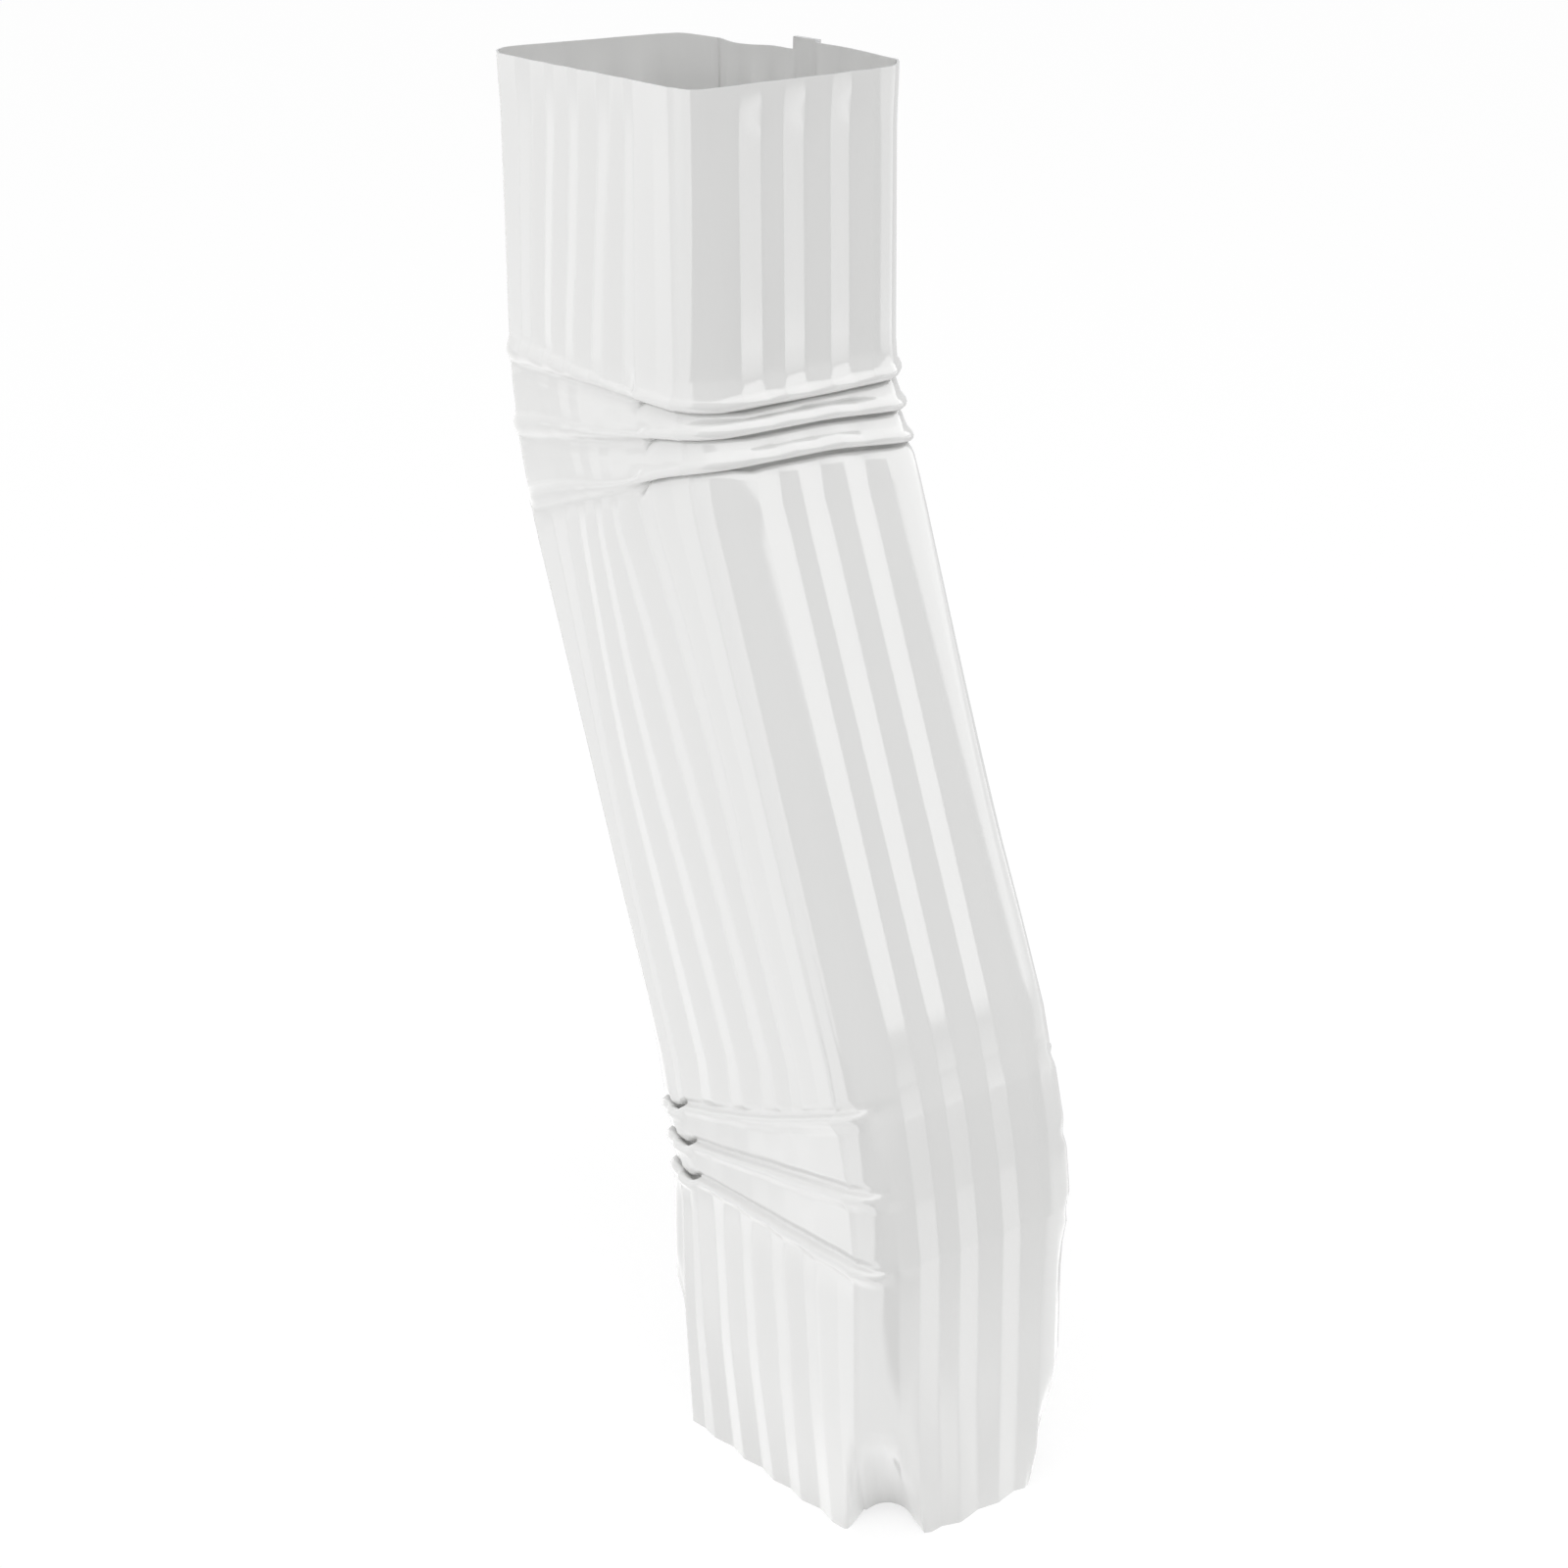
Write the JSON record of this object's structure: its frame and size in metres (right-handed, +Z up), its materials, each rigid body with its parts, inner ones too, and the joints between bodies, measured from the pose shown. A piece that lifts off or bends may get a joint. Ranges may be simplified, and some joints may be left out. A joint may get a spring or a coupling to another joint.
{
  "type": "downspout offset elbow",
  "caption": "Fluted rectangular sheet downspout section with crimped bends that step the pipe sideways; open mouth above, drawn-in outlet below.",
  "frame": {"origin": "middle of the outlet's edge, on the ground plane", "axes": "+Z up the pipe towards the inlet; +X the way the outlet is set off from the inlet; +Y the wide face that carries the seam"},
  "size_m": [0.1467, 0.0665, 0.3328],
  "materials": {
    "enamel": "gloss"
  },
  "bodies": {
    "root": {"offset_elbow": "enamel"}
  },
  "joints": []
}
